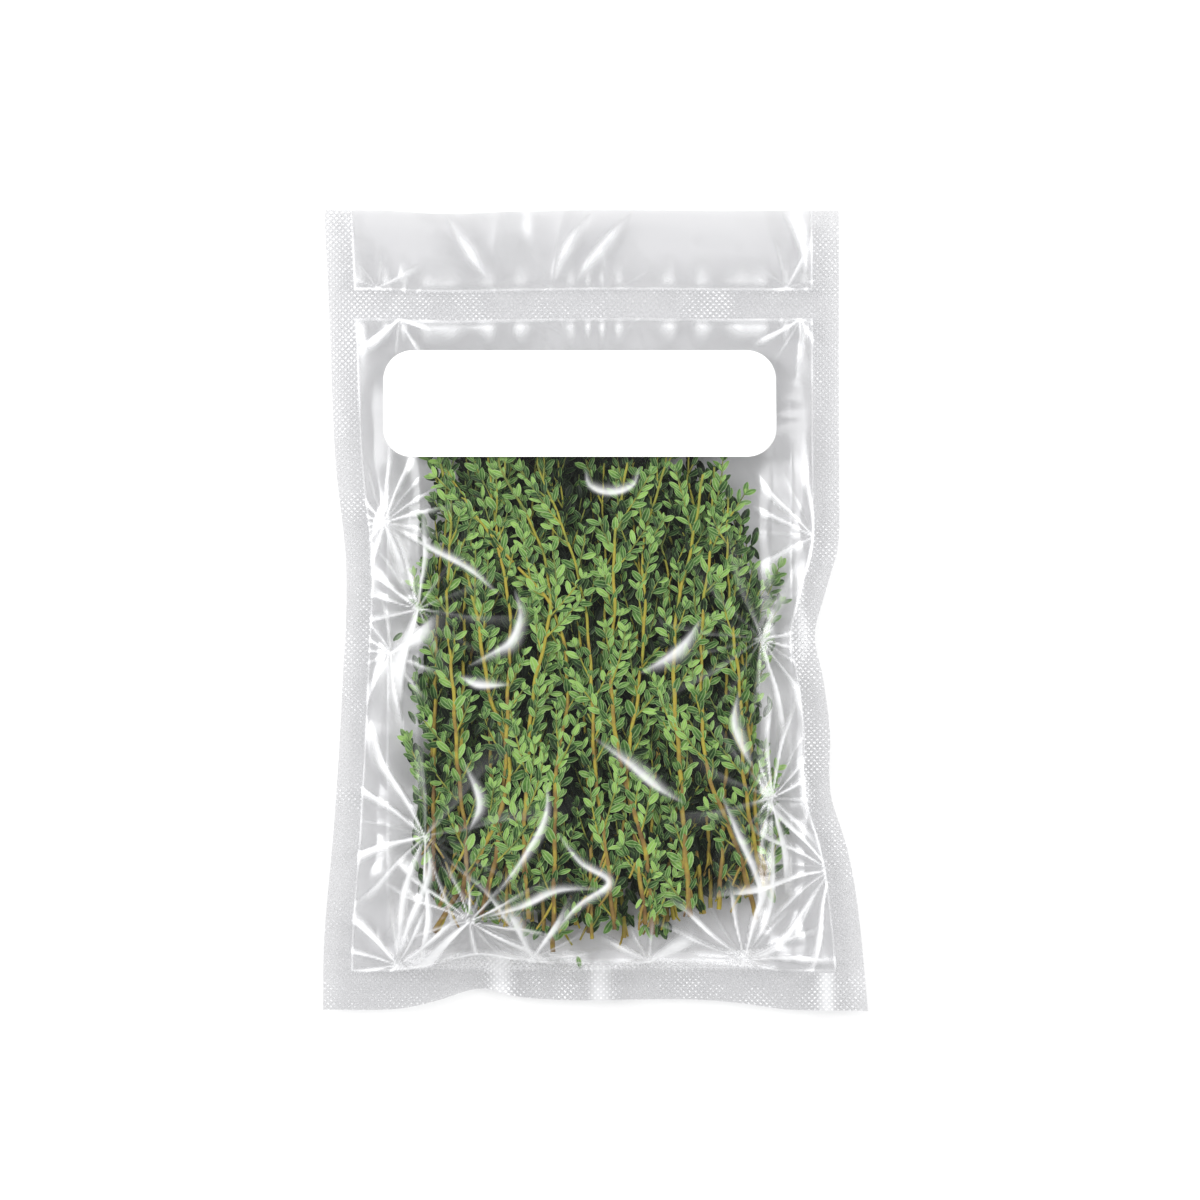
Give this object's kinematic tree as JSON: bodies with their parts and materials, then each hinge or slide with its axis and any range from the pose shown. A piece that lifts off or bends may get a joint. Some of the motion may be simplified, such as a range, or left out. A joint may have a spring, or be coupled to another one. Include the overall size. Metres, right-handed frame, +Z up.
{
  "type": "vacuum-packed thyme bundle",
  "caption": "Bundle of fresh thyme sprigs laid side by side and vacuum-sealed in a flat clear pouch, with heat-sealed borders and a blank white label.",
  "frame": {"origin": "centre of the pack's outline, on the surface that the pack lies on", "axes": "+Z up out of the front film, +Y from the cut stem ends towards the growing tips, the label and the pouch's open top edge, +X to the right as the label is read"},
  "size_m": [0.1698, 0.2497, 0.0152],
  "materials": {
    "clear_film": "clear glossy vacuum film with fine creases",
    "label_stock": "smooth white self-adhesive label, unprinted",
    "thyme": "matt green leaves on yellow-brown stems"
  },
  "bodies": {
    "root": {"back_film": "clear_film", "front_film": "clear_film", "label": "label_stock", "sprig_01": "thyme", "sprig_02": "thyme", "sprig_03": "thyme", "sprig_04": "thyme", "sprig_05": "thyme", "sprig_06": "thyme", "sprig_07": "thyme", "sprig_08": "thyme", "sprig_09": "thyme", "sprig_10": "thyme", "sprig_11": "thyme", "sprig_12": "thyme", "sprig_13": "thyme", "sprig_14": "thyme", "sprig_15": "thyme", "sprig_16": "thyme", "sprig_17": "thyme", "sprig_18": "thyme", "sprig_19": "thyme", "sprig_20": "thyme", "sprig_21": "thyme", "sprig_22": "thyme", "sprig_23": "thyme", "sprig_24": "thyme", "sprig_25": "thyme", "sprig_26": "thyme", "sprig_27": "thyme", "sprig_28": "thyme", "sprig_29": "thyme", "sprig_30": "thyme", "sprig_31": "thyme", "sprig_32": "thyme", "sprig_33": "thyme", "sprig_34": "thyme", "sprig_35": "thyme", "sprig_36": "thyme", "sprig_37": "thyme", "sprig_38": "thyme", "sprig_39": "thyme", "sprig_40": "thyme", "sprig_41": "thyme", "sprig_42": "thyme", "sprig_43": "thyme", "sprig_44": "thyme", "sprig_45": "thyme", "loose_leaf_1": "thyme", "loose_leaf_2": "thyme", "loose_leaf_3": "thyme"}
  },
  "joints": []
}
